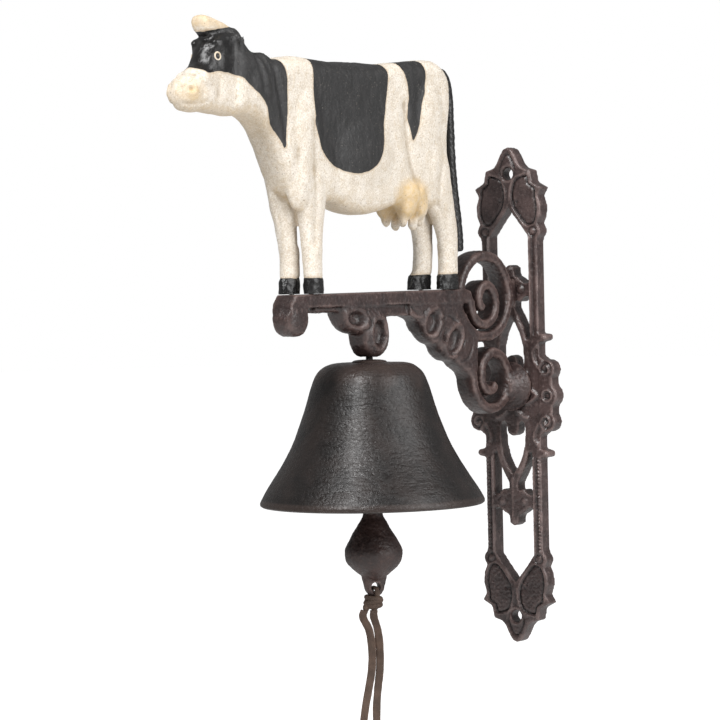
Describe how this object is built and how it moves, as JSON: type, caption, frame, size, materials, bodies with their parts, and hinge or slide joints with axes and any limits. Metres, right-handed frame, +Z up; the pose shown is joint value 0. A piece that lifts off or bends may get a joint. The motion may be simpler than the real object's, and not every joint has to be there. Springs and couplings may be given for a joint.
{
  "type": "wall mounted bell",
  "caption": "Cast-iron wall bell: openwork wall plate, scrolled arm with a painted cow on top, flared bell and a clapper pulled by a leather lace.",
  "frame": {"origin": "centre of the wall plate's flat back face, on the wall", "axes": "+Y into the wall along the back face's normal, the arm reaches along -Y, +Z up, +X along the plate's width"},
  "size_m": [0.114, 0.2806, 0.4527],
  "materials": {
    "cast_brown": "rough sand-cast iron under dark reddish-brown lacquer, edges rubbed lighter",
    "bell_black": "orange-peel brown-black lacquer, semi-gloss",
    "cow_paint": "hand-painted antiqued cream with black patches, speckled",
    "plated_steel": "plain zinc-plated steel",
    "dark_steel": "dark oiled steel",
    "brown_leather": "matte brown flat leather lace"
  },
  "bodies": {
    "bracket": {"wall_plate": "cast_brown", "arm_bracket": "cast_brown", "arm_screw_upper": "plated_steel", "arm_screw_lower": "plated_steel", "cow_near_half": "cow_paint", "cow_far_half": "cow_paint", "cow_body_screw": "plated_steel", "cow_dowel_front": "plated_steel", "cow_dowel_rear": "plated_steel", "cow_foot_screw": "plated_steel", "cow_hoof_pin_front": "plated_steel", "cow_hoof_pin_rear_near": "plated_steel", "cow_hoof_pin_rear_far": "plated_steel", "eye_bolt": "dark_steel", "bell_nut": "plated_steel", "bell_lower_washer": "plated_steel"},
    "bell": {"bell_shell": "bell_black", "bell_top_washer": "bell_black"},
    "link": {"clapper_link": "dark_steel"},
    "clapper": {"clapper_eye": "dark_steel", "clapper_pear": "bell_black"},
    "lace": {"lace_loop": "brown_leather", "lace_knot": "brown_leather", "lace_end_long": "brown_leather", "lace_end_short": "brown_leather"}
  },
  "joints": [
    {"name": "bell_turn", "type": "hinge", "parent": "bracket", "child": "bell", "pos_m": [0, -0.1344, 0], "axis": [0, 0, 1], "continuous": true},
    {"name": "clapper_swing", "type": "hinge", "parent": "bracket", "child": "link", "pos_m": [0, -0.1344, 0.0027], "axis": [1, 0, 0], "range_deg": [-33, 33]},
    {"name": "clapper_sway", "type": "hinge", "parent": "link", "child": "clapper", "pos_m": [0, -0.1344, -0.0065], "axis": [0, 1, 0], "range_deg": [-10, 10]},
    {"name": "lace_swing", "type": "hinge", "parent": "clapper", "child": "lace", "pos_m": [0, -0.1344, -0.0908], "axis": [0.866, -0.5, 0], "range_deg": [-45, 14]}
  ]
}
